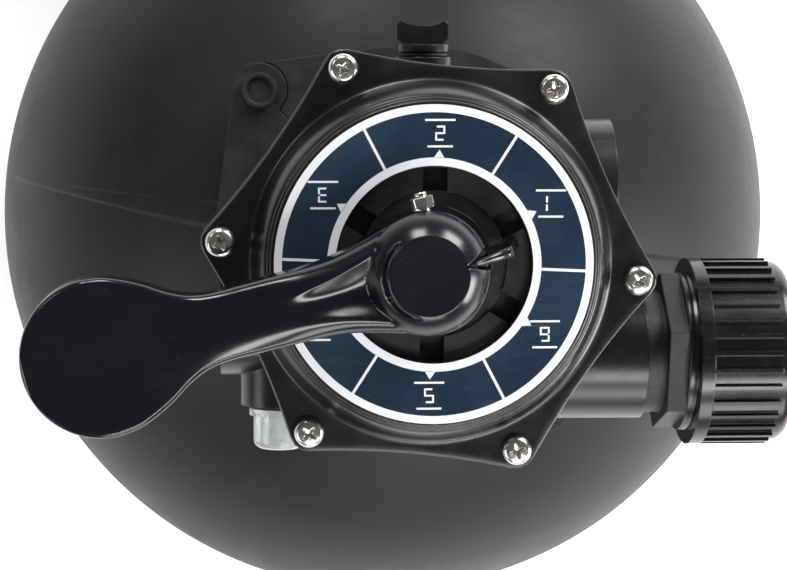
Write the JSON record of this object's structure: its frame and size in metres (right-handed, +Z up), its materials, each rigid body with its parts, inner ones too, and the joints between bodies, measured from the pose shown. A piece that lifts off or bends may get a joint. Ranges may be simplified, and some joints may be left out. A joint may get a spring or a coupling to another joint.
{
  "type": "sand filter tank",
  "caption": "Round black sand filter tank on a flared stand, with a clamped top multiport valve, press-and-turn lever handle, ribbed pump union, bleed plug, sight glass and drain.",
  "frame": {"origin": "on the floor, under the tank's vertical axis", "axes": "+Z up along the tank's axis, +X towards the pump and return ports, +Y towards the air-bleed plug"},
  "size_m": [0.3999, 0.4, 0.6],
  "materials": {
    "tank_plastic": "satin blow-moulded polyethylene, fine scuffs",
    "stand_plastic": "satin moulded plastic",
    "clamp_plastic": "dusty matte glass-filled plastic",
    "valve_plastic": "semi-gloss moulded ABS",
    "handle_plastic": "glossy moulded plastic",
    "union_plastic": "semi-gloss moulded plastic",
    "inner_plastic": "natural moulded plastic",
    "rotor_plastic": "smooth moulded acetal",
    "label_film": "printed polyester film, dark blue and white",
    "stainless": "bright stainless steel",
    "seal_rubber": "black nitrile rubber",
    "clear_plastic": "clear moulded polycarbonate",
    "sand": "washed silica sand, loose grains"
  },
  "bodies": {
    "tank": {"tank_shell": "tank_plastic", "base_stand": "stand_plastic", "neck_oring": "seal_rubber", "clamp_half_pin_side": "clamp_plastic", "clamp_half_knob_side": "clamp_plastic", "clamp_hinge_pin": "clamp_plastic", "closing_bolt": "stainless", "valve_body": "valve_plastic", "valve_lid": "valve_plastic", "lid_oring": "seal_rubber", "dial_label": "label_film", "lid_screws": "stainless", "lid_nuts": "stainless", "spider_gasket": "seal_rubber", "sight_glass": "clear_plastic", "sight_glass_oring": "seal_rubber", "union_adaptor": "union_plastic", "union_oring": "seal_rubber", "union_tailpiece": "union_plastic", "drain_spigot": "valve_plastic", "drain_strainer": "inner_plastic", "diffuser": "inner_plastic", "standpipe": "inner_plastic", "lateral_hub": "inner_plastic", "air_tube": "inner_plastic", "sand_bed": "sand", "lateral_1": "inner_plastic", "lateral_2": "inner_plastic", "lateral_3": "inner_plastic", "lateral_4": "inner_plastic", "lateral_5": "inner_plastic", "lateral_6": "inner_plastic", "lateral_7": "inner_plastic", "lateral_8": "inner_plastic"},
    "selector": {"slip_washer": "valve_plastic", "rotor_spring": "stainless"},
    "stem": {"stem": "rotor_plastic", "stem_orings": "seal_rubber", "rotor": "rotor_plastic", "pivot_bolt": "stainless", "pivot_nut": "stainless"},
    "handle": {"handle": "handle_plastic"},
    "bleed_seal": {"bleed_oring": "seal_rubber"},
    "bleed_plug": {"bleed_plug": "valve_plastic"},
    "slip_ring": {"union_slip_ring": "inner_plastic"},
    "union_nut": {"union_nut": "union_plastic"},
    "drain_seal": {"drain_gasket": "seal_rubber"},
    "drain_cap": {"drain_cap": "valve_plastic"},
    "knob_washer": {"knob_washer": "stainless"},
    "clamp_knob": {"clamp_knob": "clamp_plastic"}
  },
  "joints": [
    {"name": "selector_turn", "type": "hinge", "parent": "tank", "child": "selector", "pos_m": [0, 0, 0.557], "axis": [0, 0, 1], "continuous": true},
    {"name": "stem_lift", "type": "slide", "parent": "selector", "child": "stem", "axis": [0, 0, 1], "range_m": [0, 0.00519], "stiffness_N_per_m": 8000, "springref_m": -0.01, "deforming": ["rotor_spring"]},
    {"name": "handle_press", "type": "hinge", "parent": "stem", "child": "handle", "pos_m": [0, 0, 0.583], "axis": [0.247, -0.969, 0], "range_deg": [0, 12]},
    {"name": "bleed_plug_travel", "type": "slide", "parent": "tank", "child": "bleed_seal", "axis": [0, 1, 0], "range_m": [0, 0.006]},
    {"name": "bleed_plug_turn", "type": "hinge", "parent": "bleed_seal", "child": "bleed_plug", "pos_m": [0, 0.0822, 0.5], "axis": [0, 1, 0], "range_deg": [0, 1082]},
    {"name": "union_nut_travel", "type": "slide", "parent": "tank", "child": "slip_ring", "axis": [1, 0, 0], "range_m": [0, 0.01]},
    {"name": "union_nut_turn", "type": "hinge", "parent": "slip_ring", "child": "union_nut", "pos_m": [0.13, -0.0428, 0.5], "axis": [1, 0, 0], "range_deg": [0, 1442]},
    {"name": "drain_cap_travel", "type": "slide", "parent": "tank", "child": "drain_seal", "axis": [0, -1, 0], "range_m": [0, 0.008]},
    {"name": "drain_cap_turn", "type": "hinge", "parent": "drain_seal", "child": "drain_cap", "pos_m": [0, -0.18, 0.112], "axis": [0, -1, 0], "range_deg": [0, 1442]},
    {"name": "clamp_knob_travel", "type": "slide", "parent": "tank", "child": "knob_washer", "axis": [0.7071, 0.7071, 0], "range_m": [0, 0.005]},
    {"name": "clamp_knob_turn", "type": "hinge", "parent": "knob_washer", "child": "clamp_knob", "pos_m": [0.06859, -0.06859, 0.448], "axis": [0.7071, 0.7071, 0], "range_deg": [0, 1442]}
  ],
  "couplings": [
    {"joint": "handle_press", "follows": "stem_lift", "rad_per_m": 40.32},
    {"joint": "bleed_plug_turn", "follows": "bleed_plug_travel", "rad_per_m": 3141.6},
    {"joint": "union_nut_turn", "follows": "union_nut_travel", "rad_per_m": 2513.3},
    {"joint": "drain_cap_turn", "follows": "drain_cap_travel", "rad_per_m": 3141.6},
    {"joint": "clamp_knob_turn", "follows": "clamp_knob_travel", "rad_per_m": 5026.5}
  ]
}
